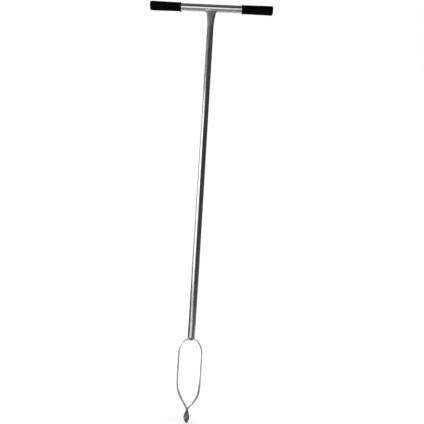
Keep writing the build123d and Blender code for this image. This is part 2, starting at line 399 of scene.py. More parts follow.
def shaft_points():
    """Outer wall up, inner wall down, joined at the cut top and at the broken edges of the bottom."""
    edge_rows = [TUBE_BOTTOM + TUBE_EDGE, TUBE_BOTTOM + 2 * TUBE_EDGE]
    even_rows = np.linspace(TUBE_ROWS_START, FLARE_BOTTOM, TUBE_ROWS)
    heights = np.concatenate([edge_rows, even_rows])
    bottom = np.array([TUBE_BOTTOM])
    outer = shaft_wall(0, heights)
    inner = shaft_wall(TUBE_WALL, heights)
    rim_outer = shaft_wall(TUBE_EDGE, bottom)[:1]
    rim_inner = shaft_wall(TUBE_WALL - TUBE_EDGE, bottom)[:1]
    return np.concatenate([rim_outer, outer, inner[::-1], rim_inner])


def sway(angle, sines):
    """Sum of sines of an angle, each given as (size, rate, start)."""
    return sum(size * np.sin(rate * angle + start) for size, rate, start in sines)


def ripple(angle_along, across):
    """Crescent ripples of a weld bead: a wave along the bead whose middle runs ahead of its ends, uneven
    from ripple to ripple."""
    ahead = RIPPLE_SWEEP * (1 - (2 * across - 1) ** 2)
    return np.cos(angle_along - ahead + sway(angle_along, RIPPLE_SWAY))


def crossbar_weld_points():
    """Bead round the oval: from the bar, one leg out, to the shaft, one leg down, with a rippled crown
    between them and a back just inside the corner."""
    angle = round_angles(BEAD_STEPS)
    top = saddle_height(angle, 0)
    width, depth = flare_halves(top, 0)
    corner = np.stack([width * np.cos(angle), depth * np.sin(angle), top], -1)
    outward = unit(np.stack([depth * np.cos(angle), width * np.sin(angle), 0 * angle], -1))
    steps = np.linalg.norm(np.roll(corner, -1, 0) - corner, axis=1)
    length = np.concatenate([[0], np.cumsum(steps)[:-1]])
    count = round(steps.sum() / RIPPLE_PITCH)
    along = 2 * pi * count * length / steps.sum()
    leg = BAR_BEAD_LEG * (1 + sway(angle, BAR_BEAD_SWAY))
    on_bar = corner + leg[:, None] * outward
    on_bar[:, 2] = under_bar(on_bar[:, 1])
    low = top - leg
    low_width, low_depth = flare_halves(low, 0)
    on_shaft = np.stack([low_width * np.cos(angle), low_depth * np.sin(angle), low], -1)
    across = np.linspace(0, 1, BAR_BEAD_COLUMNS)[None, :]
    ripples = 1 + RIPPLE_DEPTH * ripple(along[:, None], across)
    crown = BAR_BEAD_CROWN * np.sin(pi * across) * ripples
    face = on_bar[:, None] * (1 - across[..., None]) + on_shaft[:, None] * across[..., None]
    lift = (outward - UP) / sqrt(2)
    face = face + crown[..., None] * lift[:, None]
    back = corner - BAR_BEAD_SINK * outward
    return np.concatenate([face, back[:, None]], 1)


def plug_points():
    """Spigot in the tube and round-ended boss below it, turned about the axis."""
    corners = [
        (0, BOSS_BOTTOM, 0),
        (BOSS_RADIUS, BOSS_BOTTOM, BOSS_ROUNDING),
        (BOSS_RADIUS, TUBE_BOTTOM, 0),
        (PLUG_RADIUS, TUBE_BOTTOM, 0),
        (PLUG_RADIUS, PLUG_TOP, PLUG_ROUNDING),
        (0, PLUG_TOP, 0),
    ]
    return turned_about_axis(rounded_profile(corners, False))


def neck_weld_points():
    """Ring bead under the tube's cut end: a rippled round face, with its back inside the tube's wall."""
    angle = round_angles(BEAD_STEPS)[:, None]
    across = np.linspace(0, 1, NECK_BEAD_COLUMNS)[None, :]
    swing = NECK_BEAD_START + NECK_BEAD_SWING * across
    count = round(2 * pi * NECK_RING_RADIUS / RIPPLE_PITCH)
    ripples = NECK_RIPPLE * np.sin(pi * across) * ripple(count * angle, across)
    bead = NECK_BEAD * (1 + ripples + sway(angle, NECK_BEAD_SWAY))
    radius = NECK_RING_RADIUS + bead * np.cos(swing)
    height = TUBE_BOTTOM + bead * np.sin(swing)
    face = np.stack([radius * np.cos(angle), radius * np.sin(angle), height], -1)
    level = np.full_like(angle, TUBE_BOTTOM + NECK_BEAD_SINK)
    back = np.stack([NECK_RING_RADIUS * np.cos(angle), NECK_RING_RADIUS * np.sin(angle), level], -1)
    return np.concatenate([face, back], 1)


def turn_at(height):
    """Angle of the blades about the axis at a height, and its change for each mm: a power of the depth
    below TWIST_START."""
    run = TWIST_START - TIP_HEIGHT
    share = np.maximum(0, (TWIST_START - height) / run)
    slope = JOIN_TURN * TWIST_POWER * share ** (TWIST_POWER - 1) / run
    return -JOIN_TURN * share**TWIST_POWER, slope


def blade_stations():
    """Radius, height and heading down the outer face: quarter oval, straight side, bend, straight leg."""
    arch = np.linspace(np.arcsin(ROOT_START / LOOP_RADIUS), pi / 2, ARCH_ROWS)
    side = np.linspace(ARCH_CENTRE, BEND_TOP, SIDE_ROWS)[1:]
    bend = np.linspace(0, RUN_IN, BEND_ROWS)[1:]
    leg = np.linspace(0, LEG_RISE - LEG_CUT, LEG_ROWS)[1:]
    radius = np.concatenate([
        LOOP_RADIUS * np.sin(arch),
        np.full_like(side, LOOP_RADIUS),
        LOOP_RADIUS - BEND_RADIUS * (1 - np.cos(bend)),
        BEND_END_RADIUS - leg * tan(RUN_IN),
    ])
    height = np.concatenate([
        ARCH_CENTRE + ARCH_HEIGHT * np.cos(arch),
        side,
        BEND_TOP - BEND_RADIUS * np.sin(bend),
        TIP_HEIGHT + LEG_RISE - leg,
    ])
    heading = np.concatenate([
        np.arctan2(ARCH_HEIGHT * np.sin(arch), LOOP_RADIUS * np.cos(arch)),
        np.full_like(side, pi / 2),
        pi / 2 + bend,
        np.full_like(leg, pi / 2 + RUN_IN),
    ])
    return radius, height, heading


def blade_sizes(height, heading):
    """Width grows from the root by the square of the heading's sine, then falls with a power of the height
    over the tip, averaged over a few mm to round the taper's start; the thickness falls with the width."""
    over_tip = height - TIP_HEIGHT
    reach = np.clip(over_tip * TAPER_EASE_SHARE, 0, TAPER_EASE)
    near = over_tip + reach * np.linspace(-1, 1, EASE_SAMPLES)[:, None]
    share = (np.clip(near / (TAPER_HEIGHT - TIP_HEIGHT), 0, 1) ** TAPER_POWER).mean(0)
    rising = heading < pi / 2
    root = ROOT_WIDTH + (BLADE_WIDTH - ROOT_WIDTH) * np.sin(heading) ** 2
    drawn = BLADE_END_WIDTH + (BLADE_WIDTH - BLADE_END_WIDTH) * share
    thin = BLADE_END_THICKNESS + (BLADE_THICKNESS - BLADE_END_THICKNESS) * share
    return np.where(rising, root, drawn), np.where(rising, BLADE_THICKNESS, thin)


def blade_directions(radius, height, heading):
    """Outward, along, across and inward at the stations: along follows the path and its twist, across is
    square to it and inward to both. In the lower half across and inward lean about the path, which brings
    the leading edge outwards."""
    angle, slope = turn_at(height)
    zero = np.zeros_like(angle)
    outward = np.stack([np.cos(angle), np.sin(angle), zero], -1)
    around = np.stack([-np.sin(angle), np.cos(angle), zero], -1)
    run = np.cos(heading)[:, None]
    fall = -np.sin(heading)[:, None]
    twist = (radius * slope)[:, None] * fall
    along = unit(outward * run + around * twist + UP * fall)
    across = unit(around - along * np.sum(around * along, 1, keepdims=True))
    square = np.cross(along, across)
    outer_side = UP * run - outward * fall
    inward = square * np.sign(-np.sum(square * outer_side, 1, keepdims=True))
    growth = smooth_share(TWIST_START - height, 0, TWIST_START - LEAN_HEIGHT)
    lean = (EDGE_LEAN * growth * smooth_share(height - TIP_HEIGHT, 0, LEAN_FADE))[:, None]
    leaning_across = across * np.cos(lean) + inward * np.sin(lean)
    leaning_inward = inward * np.cos(lean) - across * np.sin(lean)
    return outward, along, leaning_across, leaning_inward


def strip_section():
    """Columns round the strip's section: reach runs from edge to edge of a face, beyond bulges over the
    edges in half ovals, and depth goes from the outer face, 0, to the inner face, 1."""
    face = np.linspace(-1, 1, FACE_COLUMNS)
    rim = np.linspace(0, 1, RIM_COLUMNS)[1:-1]
    bulge = np.sqrt(1 - (2 * rim - 1) ** 2)
    reach = np.concatenate([face, np.ones_like(rim), -face, -np.ones_like(rim)])
    beyond = np.concatenate([0 * face, bulge, 0 * face, -bulge])
    depth = np.concatenate([0 * face, rim, 0 * face + 1, 1 - rim])
    return reach, beyond, depth


def blade_points(side):
    """Strip section carried down the stations, square to its path. The outer face bends to the bored
    hole's circle, the inner face less, and the edges are rounded over. The last row is cut level on top of
    the tip. The places on the strip come with the points."""
    radius, height, heading = blade_stations()
    outward, along, across, inward = blade_directions(radius, height, heading)
    width, thickness = blade_sizes(height, heading)
    half_width = width[:, None] / 2
    reach, beyond, depth = strip_section()
    place = reach * (half_width - EDGE_ROUNDING) + beyond * EDGE_ROUNDING
    outer = LOOP_RADIUS - np.sqrt(LOOP_RADIUS**2 - place**2)
    inner = thickness[:, None] + INNER_SAG_SHARE * outer
    sink = outer + (inner - outer) * depth
    middle = outward * radius[:, None] + UP * height[:, None]
    points = middle[:, None] + across[:, None] * place[..., None] + inward[:, None] * sink[..., None]
    last = points[-1]
    level = last + along[-1] * ((TIP_HEIGHT - last[:, 2:]) / along[-1, 2])
    points = np.concatenate([points, level[None]])

    steps = np.linalg.norm(np.diff(points.mean(1), axis=0), axis=1)
    run = np.concatenate([[0], np.cumsum(steps)])[:, None]
    nearness = np.abs(place) / half_width
    place = np.concatenate([place, place[-1:]])
    nearness = np.concatenate([nearness, nearness[-1:]])
    strip = np.stack(np.broadcast_arrays(place * MM, run * MM, nearness), -1)
    return close_ends(points) * [side, side, 1], repeat_ends(strip)


def root_weld_points(side):
    """Short bead in the corner between a blade's underside and the boss, drawn to a point at both ends."""
    share = np.linspace(-1, 1, ROOT_BEAD_ROWS)[:, None]
    swing = round_angles(ROOT_BEAD_COLUMNS)[None, :]
    angle = ROOT_BEAD_SPREAD * share
    count = round(2 * BOSS_RADIUS * ROOT_BEAD_SPREAD / RIPPLE_PITCH)
    size = ROOT_BEAD * np.sqrt(np.clip(1 - share**ROOT_BEAD_POWER, 0, 1))
    size = size * (1 + ROOT_BEAD_RIPPLE * np.cos(2 * pi * count * share + np.cos(swing)))
    radius = BOSS_RADIUS + size * np.cos(swing)
    height = ROOT_BEAD_HEIGHT + size * np.sin(swing)
    points = np.stack([radius * np.cos(angle), radius * np.sin(angle), height], -1)
    return points * [side, side, 1]


def tip_section_sizes(height):
    """Width, thickness and edge of the leaf at a height: from each end's sizes to the belly's along a power
    of a sine, which draws the shoulders in and rounds the point."""
    upper = height > TIP_BELLY
    rise = np.where(upper, (TIP_HEIGHT - height) / (TIP_HEIGHT - TIP_BELLY), height / TIP_BELLY)
    share = np.sin(pi / 2 * rise) ** np.where(upper, TIP_UPPER_POWER, TIP_LOWER_POWER)
    width = np.where(upper, BLADE_END_WIDTH, TIP_POINT)
    thickness = np.where(upper, 2 * JOIN_RADIUS, TIP_POINT)
    edge = np.where(upper, TIP_TOP_EDGE, TIP_EDGE)
    belly = (TIP_WIDTH, TIP_THICKNESS, TIP_EDGE)
    return [end + (full - end) * share for end, full in zip((width, thickness, edge), belly)]


def tip_points():
    """Leaf of six-sided sections, a ridge down each face and two blunt edges, turned evenly on from the
    blades. The places on the leaf come with the points."""
    height = np.linspace(TIP_HEIGHT, 0, TIP_ROWS)
    width, thickness, edge = tip_section_sizes(height)
    zero = np.zeros_like(height)
    hexagon = np.stack([
        np.stack([width / 2, -edge / 2], -1),
        np.stack([width / 2, edge / 2], -1),
        np.stack([zero, thickness / 2], -1),
        np.stack([-width / 2, edge / 2], -1),
        np.stack([-width / 2, -edge / 2], -1),
        np.stack([zero, -thickness / 2], -1),
    ], 1)
    share = np.linspace(0, 1, TIP_SIDE_STEPS + 1)[:-1][None, None, :, None]
    outline = hexagon[:, :, None] * (1 - share) + np.roll(hexagon, -1, 1)[:, :, None] * share
    outline = outline.reshape(len(height), -1, 2)
    across, through = outline[..., 0], outline[..., 1]
    level = height[:, None]
    angle = -JOIN_TURN - TIP_TURN * (1 - level / TIP_HEIGHT)
    x = -across * np.sin(angle) - through * np.cos(angle)
    y = across * np.cos(angle) - through * np.sin(angle)
    points = np.stack(np.broadcast_arrays(x, y, level), -1)
    nearness = np.abs(across) / (width[:, None] / 2)
    strip = np.stack(np.broadcast_arrays(across * MM, level * MM, nearness), -1)
    return close_ends(points), repeat_ends(strip)


def tip_weld_points():
    """Lumpy drop of weld in the crotch of the blades: a ball whose radius waves round and down it."""
    polar = np.linspace(0, pi, CROTCH_ROWS)[:, None]
    angle = round_angles(CROTCH_COLUMNS)[None, :]
    lumps = CROTCH_LUMP_DEPTH * np.cos(CROTCH_LUMPS * angle + CROTCH_LUMP_TWIST * polar)
    rings = CROTCH_RING_DEPTH * np.cos(CROTCH_RINGS * polar)
    radius = CROTCH_BEAD * (1 + np.sin(polar) * (lumps + rings))
    x = radius * np.sin(polar) * np.cos(angle)
    y = radius * np.sin(polar) * np.sin(angle)
    z = TIP_HEIGHT + CROTCH_RISE + radius * np.cos(polar)
    return np.stack([x, y, z], -1)


# Finishes: each pair of greys is a dark and a light one, as (red, green, blue)
PLATE_GREYS = ((0.56, 0.565, 0.575), (0.70, 0.70, 0.705))
STRIP_GREYS = ((0.46, 0.46, 0.465), (0.66, 0.66, 0.665))
LEAF_GREYS = ((0.24, 0.24, 0.242), (0.86, 0.86, 0.865))
# the boss's greys are kept dark as painted shade for the shadow under the tube
BOSS_SHADE_GREYS = ((0.22, 0.22, 0.225), (0.38, 0.38, 0.385))
GRIP_GREYS = ((0.0009, 0.0009, 0.0010), (0.0032, 0.0032, 0.0032))
BEAD_GREYS = ((0.36, 0.36, 0.36), (0.66, 0.66, 0.66))
# lighter than the other beads as a painted highlight; the ground bead is also smoother, which is real
RING_HIGHLIGHT_GREYS = ((0.55, 0.55, 0.55), (0.85, 0.85, 0.85))
NOISE_LOW = 0.3  # noise lies mostly between these two
NOISE_HIGH = 0.7
TUBE_LINE_STRETCH = 0.012  # share of their natural rate at which lines change along a tube
STRIP_LINE_STRETCH = 0.05
SHAFT_SMOOTH = 0.1  # roughness where the plating is shiniest
BAR_SMOOTH = 0.05
LINE_ROUGHNESS = 0.08  # more roughness on the polishing lines, in the haze and on rubbed spots
HAZE_ROUGHNESS = 0.06
RUB_ROUGHNESS = 0.12
ROOT_HIGHLIGHT_RUN = (0.01, 0.06)  # metres down the strip over which the painted highlight at the root fades out
ROOT_HIGHLIGHT_GAIN = 1.32
LOWER_SHADE_RUN = (0.105, 0.15)  # and over which painted shade darkens it
LOWER_SHADE_GAIN = 0.86
LEAF_SLANT = 1.4  # rise of the painted highlight band to the right, for each mm across a face
LEAF_HIGHLIGHT_HEIGHT = 0.0165  # metres, as are the next two
LEAF_HIGHLIGHT_FULL = 0.0015  # half the painted highlight band's full width
LEAF_HIGHLIGHT_END = 0.007  # half the width at which it has faded out


def finish_nodes(name):
    """A new material with its node tree and its shader."""
    made = bpy.data.materials.new(name)
    made.use_nodes = True
    return made, made.node_tree, made.node_tree.nodes["Principled BSDF"]


def feed(tree, socket, value):
    """A socket joined to another node's output, or set to a value."""
    if isinstance(value, bpy.types.NodeSocket):
        tree.links.new(value, socket)
    else:
        socket.default_value = value


def add_node(tree, kind, settings=None, **sockets):
    """A node with its settings and its sockets; an underscore in a socket's name stands for a space."""
    made = tree.nodes.new("ShaderNode" + kind)
    for key, value in (settings or {}).items():
        setattr(made, key, value)
    for key, value in sockets.items():
        feed(tree, made.inputs[key.replace("_", " ")], value)
    return made


def arithmetic(tree, operation, *values):
    """One sum of numbers or outputs."""
    made = add_node(tree, "Math", {"operation": operation})
    for socket, value in zip(made.inputs, values):
        feed(tree, socket, value)
    return made.outputs[0]


def mixed(tree, first, first_share, second, second_share):
    """Two values, each times its share, added up."""
    first_part = arithmetic(tree, "MULTIPLY", first, first_share)
    second_part = arithmetic(tree, "MULTIPLY", second, second_share)
    return arithmetic(tree, "ADD", first_part, second_part)


def cloud(tree, place, grains, detail, roughness=0.55):
    """Noise with so many grains in a metre."""
    made = add_node(tree, "TexNoise", Vector=place, Scale=grains, Detail=detail, Roughness=roughness)
    return made.outputs["Fac"]


def spread(tree, value, low, high, out_low, out_high):
    """A value between low and high brought to another range, and held at its ends."""
    made = add_node(tree, "MapRange", Value=value)
    for at, number in enumerate((low, high, out_low, out_high), 1):
        made.inputs[at].default_value = number
    return made.outputs["Result"]


def wander(tree, noise, out_low, out_high):
    """Noise brought from its usual range to another."""
    return spread(tree, noise, NOISE_LOW, NOISE_HIGH, out_low, out_high)


def shade(tree, value, greys):
    """A colour between two greys."""
    made = add_node(tree, "ValToRGB", Fac=value)
    for stop, grey in zip(made.color_ramp.elements, greys):
        stop.color = (*grey, 1)
    return made.outputs["Color"]


def dress(tree, shader, colour, rough, metal):
    """Colour and roughness joined to the shader, and one number for how metallic it is."""
    tree.links.new(colour, shader.inputs["Base Color"])
    tree.links.new(rough, shader.inputs["Roughness"])
    shader.inputs["Metallic"].default_value = metal


def bumps(tree, shader, height, depth, strength):
    """Small relief from a height, with its real depth in metres."""
    made = add_node(tree, "Bump", Height=height, Distance=depth, Strength=strength)
    tree.links.new(made.outputs["Normal"], shader.inputs["Normal"])


def object_place(tree):
    """The place in the object's own frame."""
    return add_node(tree, "TexCoord").outputs["Object"]


def strip_place(tree):
    """The place on a strip or leaf: across it, along it, and how near an edge is."""
    strip = add_node(tree, "Attribute", {"attribute_name": "strip"}).outputs["Vector"]
    parts = add_node(tree, "SeparateXYZ", Vector=strip).outputs
    return parts["X"], parts["Y"], parts["Z"]


def plated_tube(name, stretch, smooth):
    """Bright plated steel with polishing lines along the tube, a slow haze and a few rubbed spots. stretch
    draws the lines out along the tube, and smooth is the roughness where the plating is shiniest."""
    made, tree, shader = finish_nodes(name)
    place = object_place(tree)
    lines_at = add_node(tree, "Mapping", Vector=place, Scale=stretch).outputs["Vector"]
    lines = cloud(tree, lines_at, grains=900.0, detail=4.0)
    haze = cloud(tree, place, grains=22.0, detail=4.0, roughness=0.6)
    spots = cloud(tree, place, grains=130.0, detail=5.0, roughness=0.6)
    rubs = spread(tree, spots, 0.60, 0.72, 0.0, 1.0)
    tone = mixed(tree, lines, 0.5, haze, 0.5)
    colour = shade(tree, wander(tree, tone, 0.0, 1.0), PLATE_GREYS)
    line_rough = wander(tree, lines, smooth, smooth + LINE_ROUGHNESS)
    rough = arithmetic(tree, "ADD", line_rough, wander(tree, haze, 0.0, HAZE_ROUGHNESS))
    rough = arithmetic(tree, "ADD", rough, arithmetic(tree, "MULTIPLY", rubs, RUB_ROUGHNESS))
    dress(tree, shader, colour, rough, 1.0)
    bumps(tree, shader, lines, depth=0.00002, strength=0.25)
    return made


def dull_strip(name):
    """Dull galvanised strip: grinding lines along it, cloudy stains and edges rubbed bright. A painted
    highlight lightens it near the root, and painted shade darkens it, with a ragged start, from the lower
    sides down the legs."""
    made, tree, shader = finish_nodes(name)
    across, along, nearness = strip_place(tree)
    flat = add_node(tree, "CombineXYZ", X=across, Y=along).outputs["Vector"]
    stretch = (1.0, STRIP_LINE_STRETCH, 1.0)
    lines_at = add_node(tree, "Mapping", Vector=flat, Scale=stretch).outputs["Vector"]
    lines = cloud(tree, lines_at, grains=1100.0, detail=4.0)
    stain = cloud(tree, object_place(tree), grains=70.0, detail=5.0, roughness=0.6)
    ragged = arithmetic(tree, "ADD", nearness, wander(tree, stain, -0.12, 0.12))
    rubbed = spread(tree, ragged, 0.72, 0.98, 0.0, 1.0)
    tone = mixed(tree, lines, 0.45, stain, 0.4)
    tone = arithmetic(tree, "ADD", tone, arithmetic(tree, "MULTIPLY", rubbed, 0.18))
    colour = shade(tree, spread(tree, tone, 0.28, 0.72, 0.0, 1.0), STRIP_GREYS)
    run = arithmetic(tree, "ADD", along, wander(tree, stain, -0.01, 0.01))
    # painted highlight near the root and painted shade further down, both as a gain on the colour
    root_highlight = spread(tree, run, *ROOT_HIGHLIGHT_RUN, ROOT_HIGHLIGHT_GAIN, 1.0)
    lower_shade = spread(tree, run, *LOWER_SHADE_RUN, 1.0, LOWER_SHADE_GAIN)
    gain = arithmetic(tree, "MULTIPLY", root_highlight, lower_shade)
    colour = add_node(tree, "HueSaturation", Color=colour, Value=gain).outputs["Color"]
    rough = arithmetic(tree, "ADD", wander(tree, lines, 0.36, 0.44), wander(tree, stain, 0.0, 0.10))
    rough = arithmetic(tree, "SUBTRACT", rough, arithmetic(tree, "MULTIPLY", rubbed, 0.10))
    dress(tree, shader, colour, rough, 0.6)
    bumps(tree, shader, lines, depth=0.00003, strength=0.3)
    return made


def forged_leaf(name):
    """Dark forged steel with a painted highlight in a slanting band along the twist; the soil rubs its
    edges bright.
    """
    made, tree, shader = finish_nodes(name)
    across, along, nearness = strip_place(tree)
    place = object_place(tree)
    scale = cloud(tree, place, grains=190.0, detail=5.0, roughness=0.6)
    pits = cloud(tree, place, grains=900.0, detail=3.0)
    slant = arithmetic(tree, "SUBTRACT", along, arithmetic(tree, "MULTIPLY", across, LEAF_SLANT))
    slant = arithmetic(tree, "ADD", slant, wander(tree, scale, -0.002, 0.002))
    off_highlight = arithmetic(tree, "ABSOLUTE", arithmetic(tree, "SUBTRACT", slant, LEAF_HIGHLIGHT_HEIGHT))
    highlight_band = spread(tree, off_highlight, LEAF_HIGHLIGHT_FULL, LEAF_HIGHLIGHT_END, 1.0, 0.0)
    edges = spread(tree, nearness, 0.8, 1.0, 0.0, 0.5)
    # rubbed joins the painted highlight band with the real wear on the edges
    rubbed = arithmetic(tree, "MAXIMUM", highlight_band, edges)
    bright = arithmetic(tree, "MULTIPLY", rubbed, 0.7)
    tone = arithmetic(tree, "ADD", bright, wander(tree, scale, 0.0, 0.3))
    rough = spread(tree, tone, 0.0, 1.0, 0.48, 0.3)
    dress(tree, shader, shade(tree, tone, LEAF_GREYS), rough, 0.8)
    bumps(tree, shader, pits, depth=0.00006, strength=0.4)
    return made


def shaded_boss_steel(name):
    """Satin steel on a turned piece, with fine pitting; its dark greys are painted shade for the shadow
    under the tube.
    """
    made, tree, shader = finish_nodes(name)
    place = object_place(tree)
    stain = cloud(tree, place, grains=160.0, detail=5.0, roughness=0.6)
    pits = cloud(tree, place, grains=1400.0, detail=3.0)
    colour = shade(tree, wander(tree, stain, 0.0, 1.0), BOSS_SHADE_GREYS)
    dress(tree, shader, colour, wander(tree, stain, 0.26, 0.40), 1.0)
    bumps(tree, shader, pits, depth=0.00005, strength=0.3)
    return made


def weld_metal(name, greys, dull, smooth):
    """Plated weld metal with a fine grain: flecks of slag are dark and dull, the rest light and smooth.
    dull and smooth are roughnesses."""
    made, tree, shader = finish_nodes(name)
    place = object_place(tree)
    grain = cloud(tree, place, grains=900.0, detail=4.0)
    flecks = cloud(tree, place, grains=330.0, detail=4.0, roughness=0.6)
    clean = spread(tree, flecks, 0.34, 0.62, 0.0, 1.0)
    rough = spread(tree, clean, 0.0, 1.0, dull, smooth)
    dress(tree, shader, shade(tree, clean, greys), rough, 1.0)
    bumps(tree, shader, grain, depth=0.00008, strength=0.35)
    return made


def soft_plastic(name):
    """Matt black soft plastic: moulded grain, a slow change of gloss where hands rub it, and pale dust in
    the grain."""
    made, tree, shader = finish_nodes(name)
    place = object_place(tree)
    grain = cloud(tree, place, grains=1500.0, detail=3.0)
    rub = cloud(tree, place, grains=40.0, detail=3.0)
    hollows = spread(tree, grain, 0.5, 0.75, 0.0, 1.0)
    dust = arithmetic(tree, "MULTIPLY", hollows, spread(tree, rub, 0.4, 0.7, 0.0, 1.0))
    dress(tree, shader, shade(tree, dust, GRIP_GREYS), wander(tree, rub, 0.46, 0.62), 0.0)
    shader.inputs["Specular IOR Level"].default_value = 0.05
    bumps(tree, shader, grain, depth=0.00012, strength=0.4)
    return made


shaft_finish = plated_tube("plated_shaft", (1.0, 1.0, TUBE_LINE_STRETCH), SHAFT_SMOOTH)
bar_finish = plated_tube("plated_crossbar", (TUBE_LINE_STRETCH, 1.0, 1.0), BAR_SMOOTH)
blade_finish = dull_strip("dull_strip")
leaf_finish = forged_leaf("forged_leaf")
boss_shade_finish = shaded_boss_steel("satin_boss_painted_shade")
bead_finish = weld_metal("weld_bead", BEAD_GREYS, dull=0.42, smooth=0.26)
# the neck's ground bead: smoother than the others, and lighter as a painted highlight
ring_highlight_finish = weld_metal("ground_bead_highlight", RING_HIGHLIGHT_GREYS, dull=0.30, smooth=0.16)
grip_finish = soft_plastic("black_soft_plastic")

# Pieces: name, points, body, node and finish
STEEL = "steel_frame"
make_piece("crossbar_bar", crossbar_points(), STEEL, "crossbar", bar_finish, wrap_rows=True)
make_piece("shaft_pipe", shaft_points(), STEEL, "shaft_tube", shaft_finish, wrap_rows=True)
make_piece("crossbar_bead", crossbar_weld_points(), STEEL, "crossbar_weld", bead_finish,
           wrap_rows=True)
make_piece("neck_boss", plug_points(), STEEL, "neck_plug", boss_shade_finish)
make_piece("neck_bead", neck_weld_points(), STEEL, "neck_weld", ring_highlight_finish, wrap_rows=True)
for side, hand in ((-1, "left"), (1, "right")):
    strip_points, strip_places = blade_points(side)
    make_piece(f"{hand}_strip", strip_points, STEEL, f"{hand}_blade", blade_finish,
               strip=strip_places)
    make_piece(f"{hand}_root_bead", root_weld_points(side), STEEL, f"{hand}_root_weld",
               bead_finish)
    make_piece(f"{hand}_sleeve", grip_points(side), f"{hand}_grip", f"{hand}_grip",
               grip_finish)
leaf_points, leaf_places = tip_points()
make_piece("leaf_tip", leaf_points, STEEL, "screw_tip", leaf_finish, strip=leaf_places,
           sharp=LEAF_SHARP)
make_piece("crotch_bead", tip_weld_points(), STEEL, "tip_weld", bead_finish)

# Camera: fitted to a frame of 424 by 424 points, looking up the tool from near its lower third
FRAME_POINTS = 424
FOCAL_POINTS = 412.517
AIM = (36.747, 0.0, 552.293)
AIM_DISTANCE = 1167.293
LOOK_ELEVATION = radians(-12.0)
LOOK_YAW = radians(0.743)
LOOK_ROLL = radians(3.131)
SENSOR_WIDTH = 36.0
FARTHEST = 100.0  # metres


def add_camera():
    """Camera on a line from the aim point, turned about it by the roll."""
    level = cos(LOOK_ELEVATION)
    back = Vector((sin(LOOK_YAW) * level, -cos(LOOK_YAW) * level, sin(LOOK_ELEVATION)))
    right = (-back).cross(Vector(UP)).normalized()
    up = right.cross(-back)
    rolled_right = cos(LOOK_ROLL) * right + sin(LOOK_ROLL) * up
    rolled_up = cos(LOOK_ROLL) * up - sin(LOOK_ROLL) * right
    lens = bpy.data.cameras.new("camera")
    lens.sensor_width = SENSOR_WIDTH
    lens.lens = SENSOR_WIDTH * FOCAL_POINTS / FRAME_POINTS
    lens.clip_end = FARTHEST
    camera = bpy.data.objects.new("camera", lens)
    bpy.context.scene.collection.objects.link(camera)
    turned = Matrix((rolled_right, rolled_up, back)).transposed().to_4x4()
    place = (Vector(AIM) + back * AIM_DISTANCE) * MM
    camera.matrix_world = Matrix.Translation(place) @ turned
    bpy.context.scene.camera = camera


add_camera()

# Studio: white surroundings, grey and dark screens that only reflections see, a pale floor, soft lamps.
# Its sizes are in metres, and bearings in degrees from the front, positive to the right.
WORLD_LIGHT = 0.48  # strength for all but the rays that show the background
WHITE = (1, 1, 1, 1)
BLACK = (0, 0, 0, 1)
FLOOR_GREY = (0.8, 0.8, 0.8, 1)
FLOOR_HEIGHT = -0.0005
FLOOR_REACH = 30.0
FLOOR_NEAR = 0.1  # from the tool's point; the floor's own light grows from here
FLOOR_FAR = 1.0  # to here
FLOOR_NEAR_GLOW = 0.35
FLOOR_FAR_GLOW = 0.75
SCREEN_STEPS = 49
WALL = 8.0
CEILING = 5.2
FLOOR_SCREEN = -0.0002  # between the floor and the tool's point
APART = 0.05  # between walls that stand one behind the other
NEAR_CARD = 0.14
LEG_CARD = 0.2
BACK_CARD = 0.6


def upright(bearing, *heights):
    """An upright edge of a wall screen."""
    return [(bearing, height) for height in heights]


# Upright screens: name, first and last edge as rows of (bearing, height), distance, grey
DARK_WALL_EDGE = [(-24, 0.02), (-21, 0.62), (-19, 1.2), (-13, 2.2), (-25, 3.1), (-31, 4.0), (-36, CEILING)]
DARK_WALL_END = upright(160, 0.02, 0.62) + upright(184, 1.2, 2.2, 3.1, 4.0, CEILING)
LEFT_LOW_EDGE = [(-160, 0.0), (-160, 0.6), (-176, 1.0)]
LEFT_LOW_END = [(-54, 0.0), (-72, 0.6), (-90, 1.0)]
WALL_SCREENS = (
    ("dark_wall", DARK_WALL_EDGE, DARK_WALL_END, WALL, 0.06),
    ("right_wall_low", upright(55, 0.0, 1.5), upright(150, 0.0, 1.5), WALL - APART, 0.12),
    ("left_wall", upright(-176, 1.6, CEILING), upright(-95, 1.6, CEILING), WALL, 0.64),
    ("left_wall_middle", upright(-176, 1.0, 1.6), [(-90, 1.0), (-92, 1.6)], WALL, 0.36),
    ("left_wall_low", LEFT_LOW_EDGE, LEFT_LOW_END, WALL, 0.1),
    ("bright_gap", upright(-100, 1.2, 4.4), upright(-10, 1.2, 4.4), WALL + APART, 0.87),
    ("bright_gap_top", upright(-100, 4.4, CEILING), upright(-10, 4.4, CEILING), WALL + APART, 0.55),
    ("arch_card", upright(150, 0.1, 0.32), upright(192, 0.1, 0.32), BACK_CARD, 1.0),
    ("arch_card_left", upright(192, 0.2, 0.42), upright(214, 0.2, 0.42), BACK_CARD, 1.0),
    ("arch_front_card", upright(-36, 0.194, 0.25), upright(-11, 0.194, 0.25), NEAR_CARD, 1.0),
    ("side_front_card", upright(-48, 0.08, 0.165), [(-17, 0.08), (-8, 0.165)], NEAR_CARD, 0.06),
    ("leg_card", upright(55, 0.1, 0.18), upright(115, 0.1, 0.18), LEG_CARD, 0.9),
)

